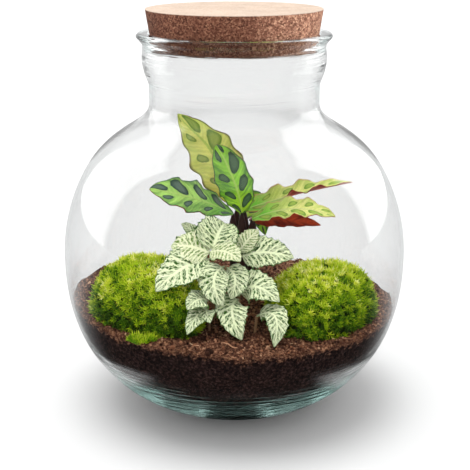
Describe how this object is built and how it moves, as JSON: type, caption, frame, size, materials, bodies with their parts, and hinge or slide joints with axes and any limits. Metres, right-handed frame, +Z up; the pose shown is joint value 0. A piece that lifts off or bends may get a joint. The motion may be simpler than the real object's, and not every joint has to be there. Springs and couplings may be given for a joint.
{
  "type": "glass plant terrarium",
  "caption": "Closed globe jar of clear glass with a cork stopper, holding a soil bed, moss cushions, a prayer plant with long waved leaves and a white-veined nerve plant.",
  "frame": {"origin": "centre of the jar's foot, on the surface that it stands on", "axes": "+Z up through the mouth, -Y towards the viewer of the picture, +X to the viewer's right"},
  "size_m": [0.25, 0.25, 0.293],
  "materials": {
    "glass": "clear, polished, faint green in the thick foot",
    "cork": "pressed cork granules, matt",
    "soil": "damp crumbly potting soil, matt",
    "moss": "short upright shoots, matt",
    "waved_leaf": "satin leaf, dark green ovals, wine-red underside",
    "veined_leaf": "satin leaf, green with a net of white veins"
  },
  "bodies": {
    "root": {"glass_jar": "glass", "cork_stopper": "cork", "soil_bed": "soil", "moss_cushion_left": "moss", "moss_cushion_right": "moss", "waved_leaf_tall_back": "waved_leaf", "waved_leaf_tall_front": "waved_leaf", "waved_leaf_left": "waved_leaf", "waved_leaf_right_upper": "waved_leaf", "waved_leaf_right_middle": "waved_leaf", "waved_leaf_right_lower": "waved_leaf", "waved_leaf_behind": "waved_leaf", "veined_stem_top_left": "veined_leaf", "veined_stem_top_right": "veined_leaf", "veined_stem_middle": "veined_leaf", "veined_stem_low_right": "veined_leaf", "veined_stem_front_right": "veined_leaf", "veined_stem_low_left": "veined_leaf", "veined_stem_back": "veined_leaf"}
  },
  "joints": []
}
